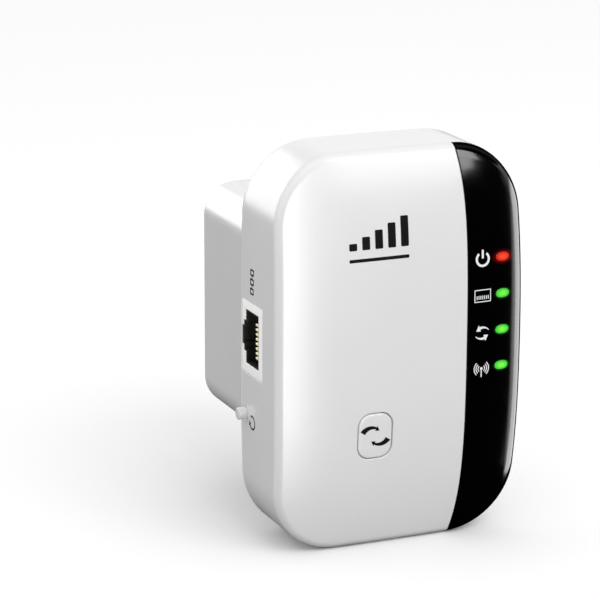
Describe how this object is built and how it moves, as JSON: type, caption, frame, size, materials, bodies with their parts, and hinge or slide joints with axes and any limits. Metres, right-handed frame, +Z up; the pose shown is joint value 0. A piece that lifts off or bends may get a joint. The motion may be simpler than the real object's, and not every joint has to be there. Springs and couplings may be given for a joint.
{
  "type": "wifi range extender",
  "caption": "Plug-in wireless range extender: crowned white body on a plug block, glossy black status panel, set-up button, side LAN port and reset button, flat blades behind.",
  "frame": {"origin": "centre of the plug block's flat outlet face, midway between the two blades", "axes": "+X is the object's right as seen from the front, -Y is the front, +Z is up; the blades point along +Y"},
  "size_m": [0.058, 0.0758, 0.085],
  "materials": {
    "white_abs": "glossy white ABS moulding",
    "black_gloss": "high-gloss black panel",
    "port_plastic": "light grey satin port moulding",
    "insert_plastic": "grey heat-resistant insert",
    "dark_plastic": "black component plastic",
    "clear_guide": "clear moulded light guide",
    "led_red": "red lit LED body",
    "led_green": "green lit LED bodies",
    "board": "green solder-masked fibreglass board",
    "blade_metal": "nickel-plated brass blades",
    "gold_contacts": "gold-plated contact springs",
    "steel": "plated steel screws and crystal can",
    "ferrite": "dark ferrite core",
    "tape_yellow": "yellow winding tape",
    "can_blue": "dark blue capacitor sleeve",
    "can_green": "dark green capacitor sleeve",
    "ceramic_blue": "blue ceramic disc",
    "resistor_green": "green coated resistor",
    "copper": "enamelled copper winding",
    "sheet": "translucent insulating film",
    "label": "blank silver label",
    "wire_red": "red wire insulation",
    "wire_black": "black wire insulation"
  },
  "bodies": {
    "root": {"front_cover": "white_abs", "black_panel": "black_gloss", "rear_housing": "white_abs", "blade_insert": "insert_plastic", "plug_blades": "blade_metal", "rating_label": "label", "light_guide": "clear_guide", "main_board": "board", "power_led": "led_red", "link_leds": "led_green", "wps_switch": "dark_plastic", "reset_switch": "dark_plastic", "rj45_jack": "port_plastic", "rj45_insert": "dark_plastic", "rj45_contacts": "gold_contacts", "lan_transformer": "dark_plastic", "wifi_chip": "dark_plastic", "memory_chip": "dark_plastic", "flash_chip": "dark_plastic", "crystal": "steel", "board_capacitor": "can_blue", "top_antenna": "board", "side_antenna": "board", "top_antenna_cable": "wire_black", "side_antenna_cable": "wire_black", "board_screws": "steel", "insulation_sheet": "sheet", "power_board": "board", "power_screws": "steel", "transformer_core": "ferrite", "transformer_bobbin": "dark_plastic", "transformer_winding": "tape_yellow", "input_capacitors": "can_blue", "output_capacitor": "can_green", "bridge_rectifier": "dark_plastic", "fusible_resistor": "resistor_green", "filter_inductor": "copper", "y_capacitor": "ceramic_blue", "power_controller": "dark_plastic", "output_diode": "dark_plastic", "ac_leads": "wire_black", "dc_lead_red": "wire_red", "dc_lead_black": "wire_black"},
    "wps_button": {"wps_button": "white_abs"},
    "wps_plunger": {"wps_plunger": "dark_plastic"},
    "reset_button": {"reset_button": "white_abs"},
    "reset_plunger": {"reset_plunger": "dark_plastic"}
  },
  "joints": [
    {"name": "wps_press", "type": "slide", "parent": "root", "child": "wps_button", "axis": [0, 1, 0], "range_m": [0, 0.0003], "stiffness_N_per_m": 100, "springref_m": -0.0005},
    {"name": "wps_plunger_press", "type": "slide", "parent": "root", "child": "wps_plunger", "axis": [0, 1, 0], "range_m": [0, 0.0003]},
    {"name": "reset_press", "type": "slide", "parent": "root", "child": "reset_button", "axis": [1, 0, 0], "range_m": [0, 0.0003], "stiffness_N_per_m": 15, "springref_m": -0.0005},
    {"name": "reset_plunger_press", "type": "slide", "parent": "root", "child": "reset_plunger", "axis": [1, 0, 0], "range_m": [0, 0.0003]}
  ],
  "couplings": [
    {"joint": "wps_plunger_press", "follows": "wps_press", "ratio": 1},
    {"joint": "reset_plunger_press", "follows": "reset_press", "ratio": 1}
  ]
}
